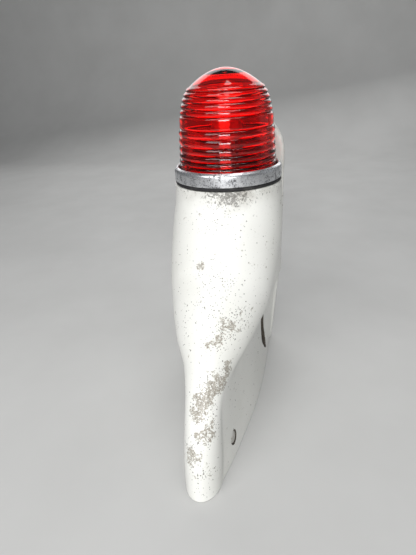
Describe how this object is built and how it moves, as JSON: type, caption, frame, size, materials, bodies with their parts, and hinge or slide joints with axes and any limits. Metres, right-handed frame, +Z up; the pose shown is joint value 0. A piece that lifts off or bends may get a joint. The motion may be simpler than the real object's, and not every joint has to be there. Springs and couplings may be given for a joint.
{
  "type": "navigation light",
  "caption": "Boat navigation light: a cast white boat-shaped housing with an arched rear shield carries a red ribbed glass lens in a chromed screw ring over a bayonet bulb.",
  "frame": {"origin": "on the flat underside, straight below the axis of the lens", "axes": "+Z up along the lens axis; -Y towards the pointed nose, +Y towards the arched shield; +X is the side with the wiring opening"},
  "size_m": [0.094, 0.2209, 0.276],
  "materials": {
    "enamel": "semi-gloss off-white enamel over cast alloy, chipped and stained in places",
    "galvanised": "dull galvanised sheet",
    "steel": "satin, lightly tarnished",
    "rubber": "matt black",
    "chrome": "pitted, dulled chrome plate",
    "lens_glass": "clear deep red glass",
    "clear_glass": "clear",
    "brass": "tarnished",
    "insulator": "moulded phenolic, matt",
    "lead_red": "insulated wire, satin",
    "lead_black": "insulated wire, satin"
  },
  "bodies": {
    "root": {"housing": "enamel", "base_plate": "galvanised", "front_strap": "galvanised", "rear_strap": "galvanised", "strap_rivet_1": "steel", "strap_rivet_2": "steel", "strap_rivet_3": "steel", "strap_rivet_4": "steel", "side_screw_front_left": "steel", "side_screw_front_right": "steel", "side_screw_rear_left": "steel", "side_screw_rear_right": "steel", "cable_grommet": "rubber", "seat_gasket": "rubber", "socket_spring": "steel", "socket_shell": "brass", "socket_base": "insulator", "centre_terminal": "brass", "socket_bracket": "brass", "earth_tag": "steel", "bracket_screw_left": "steel", "bracket_screw_right": "steel", "socket_rivet_1": "brass", "socket_rivet_2": "brass", "terminal_block": "insulator", "terminal_screw_left": "brass", "terminal_screw_right": "brass", "lead_positive": "lead_red", "lead_negative": "lead_black"},
    "lens": {"lens": "lens_glass", "lens_washer": "rubber"},
    "bezel": {"bezel_ring": "chrome"},
    "plunger": {"contact_disc": "insulator", "contact_plunger": "brass"},
    "bulb": {"bulb_glass": "clear_glass", "bulb_cap": "brass", "filament_stem": "clear_glass", "filament": "steel"}
  },
  "joints": [
    {"name": "lens_lift", "type": "slide", "parent": "root", "child": "lens", "axis": [0, 0, 1], "range_m": [0, 0.08]},
    {"name": "ring_turn", "type": "hinge", "parent": "lens", "child": "bezel", "pos_m": [0, 0, 0.198], "axis": [0, 0, 1], "range_deg": [0, 360]},
    {"name": "bulb_push", "type": "slide", "parent": "root", "child": "plunger", "axis": [0, 0, -1], "range_m": [0, 0.0025], "stiffness_N_per_m": 600, "springref_m": -0.003, "deforming": ["socket_spring"]},
    {"name": "bulb_twist", "type": "hinge", "parent": "plunger", "child": "bulb", "pos_m": [0, 0, 0.197], "axis": [0, 0, 1], "range_deg": [0, 20]}
  ]
}
